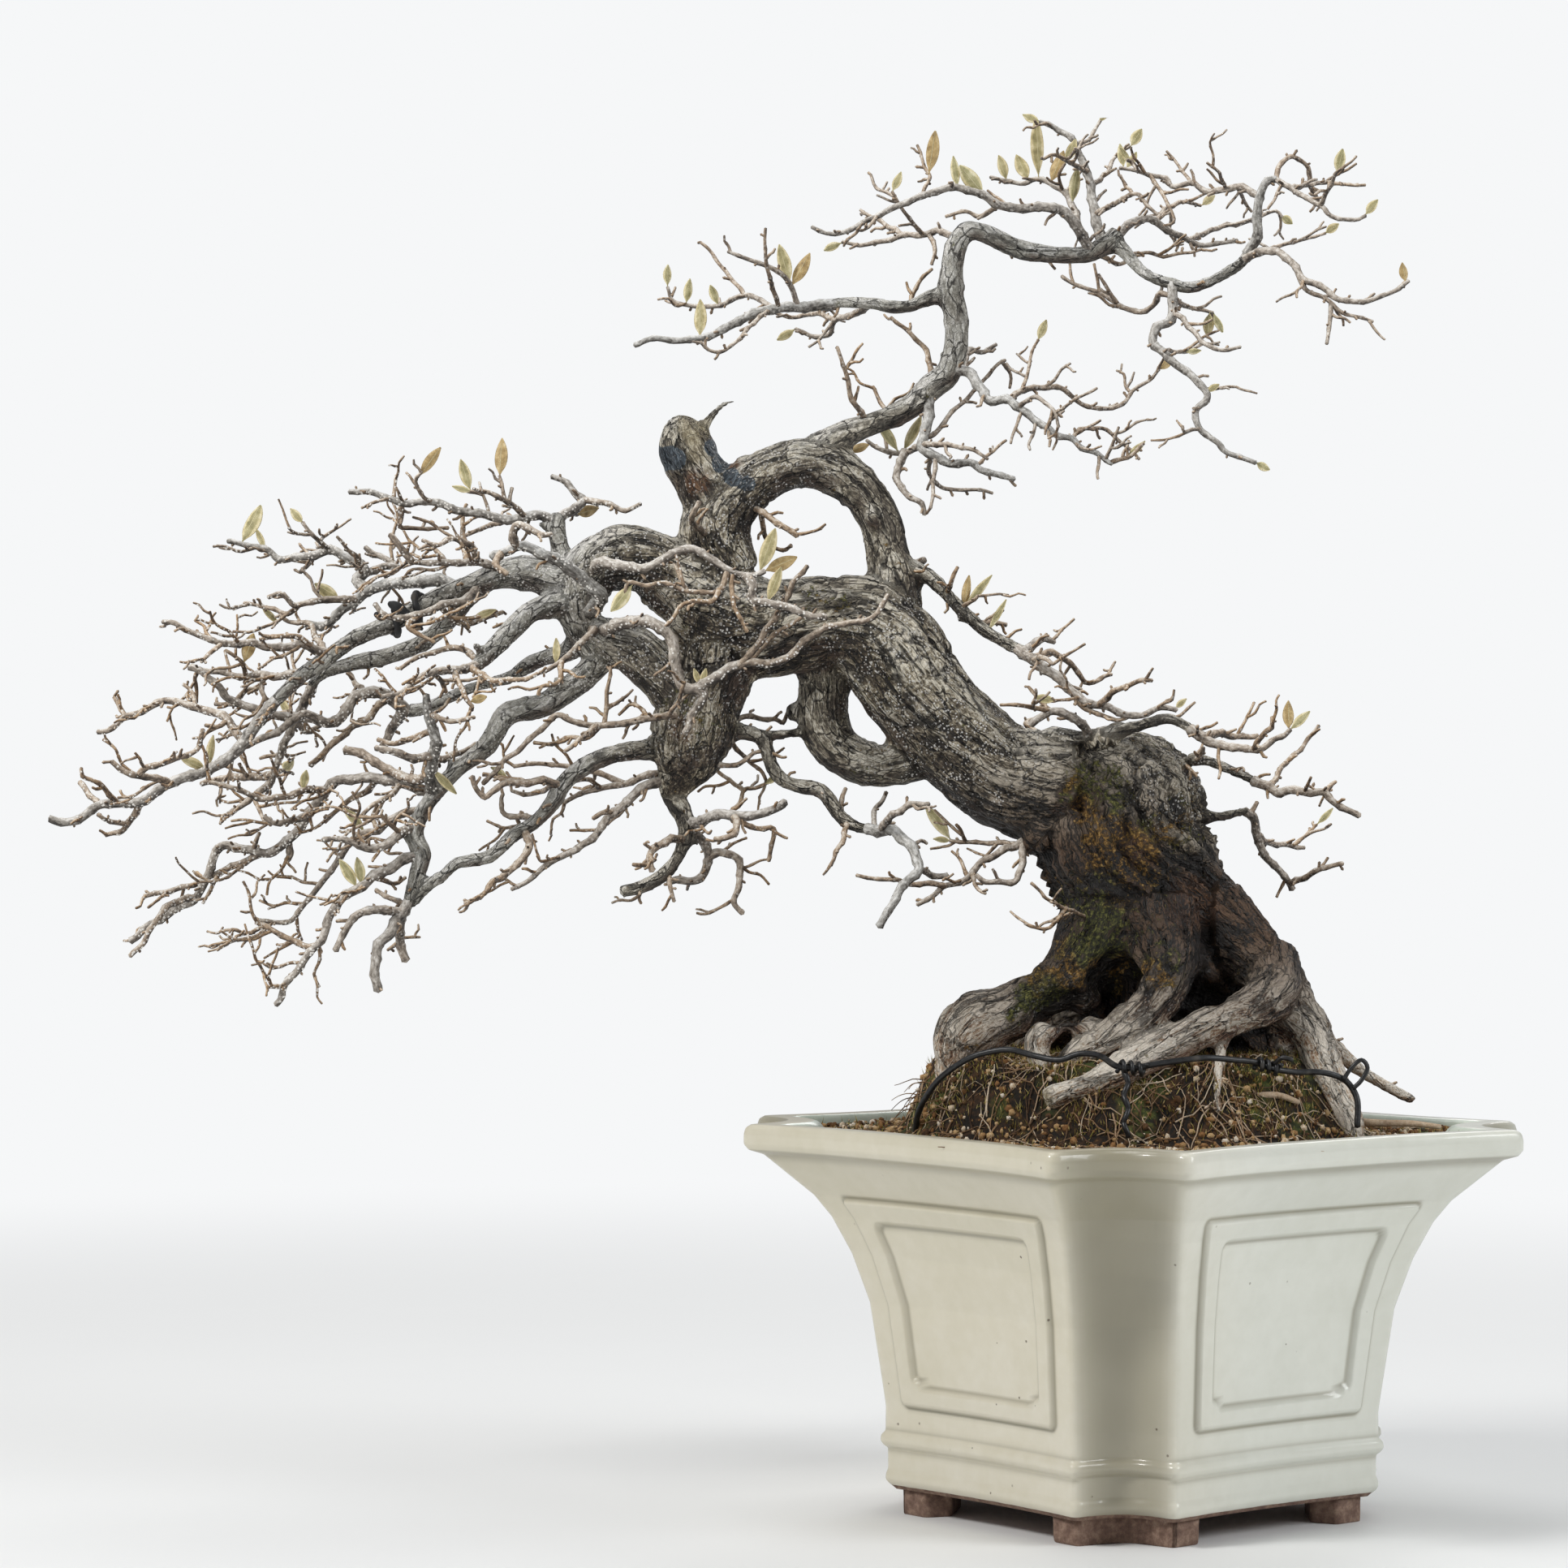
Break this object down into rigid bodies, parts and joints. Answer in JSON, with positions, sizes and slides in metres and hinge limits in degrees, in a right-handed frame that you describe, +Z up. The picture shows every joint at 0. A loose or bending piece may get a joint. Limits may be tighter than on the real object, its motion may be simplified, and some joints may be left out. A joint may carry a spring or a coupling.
{
  "type": "variegated elaeagnus bonsai",
  "caption": "Leaning bonsai with buttressed roots, a looped and arched trunk and a long sweep of fine twigs to one side, in a square footed pot that stands corner-on.",
  "frame": {"origin": "bottom centre of the bounding box, on the surface that the pot's feet stand on", "axes": "+X to the right seen from the front, from the tip of the long sweep towards the pot; +Y to the back; +Z up"},
  "size_m": [0.7266, 0.3904, 0.6907],
  "materials": {
    "glaze": "ivory glaze, glossy, with an unglazed dark band and feet",
    "plastic_mesh": "matt black plastic mesh",
    "soil": "dark fibrous soil with pale grit and moss",
    "wire": "black glossy covered wire",
    "strap": "black rubber",
    "bark": "fissured grey-brown bark with silver-grey plates and moss",
    "twig": "tan and grey twigs with pale variegated leaves"
  },
  "bodies": {
    "root": {"pot": "glaze", "drain_mesh": "plastic_mesh", "soil": "soil", "tie_wire": "wire", "branch_strap": "strap", "trunk": "bark", "crown_tip_spray": "twig", "crown_right_spray": "twig", "crown_knob_spray": "twig", "crown_hanging_spray": "twig", "crown_top_spray": "twig", "crown_left_spray": "twig", "crown_middle_spray": "twig", "crown_far_left_spray": "twig", "crown_low_left_spray": "twig", "under_crown_spray": "twig", "crown_inner_spray": "twig", "right_long_spray": "twig", "shoulder_spray": "twig", "shoulder_left_spray": "twig", "right_middle_spray": "twig", "right_low_spray": "twig", "base_left_spray": "twig", "under_loop_spray": "twig", "loop_hook_spray": "twig", "tail_loop_spray": "twig", "tail_left_spray": "twig", "low_limb_spray": "twig", "low_hook_spray": "twig", "low_front_spray": "twig", "low_cross_spray": "twig", "center_low_spray": "twig", "hip_spray": "twig", "front_spray": "twig", "front_upper_spray": "twig", "front_grey_spray": "twig", "front_brown_spray": "twig", "post_spray": "twig", "post_left_spray": "twig", "left_top_spray": "twig", "left_upper_spray": "twig", "left_core_upper_spray": "twig", "left_far_spray": "twig", "left_middle_spray": "twig", "left_raised_spray": "twig", "left_drop_spray": "twig", "left_hook_spray": "twig", "left_core_spray": "twig", "stem_top_spray": "twig", "left_low_spray": "twig", "left_low_tip_spray": "twig", "left_low_long_spray": "twig", "left_low_front_spray": "twig", "hub_spray": "twig"}
  },
  "joints": []
}
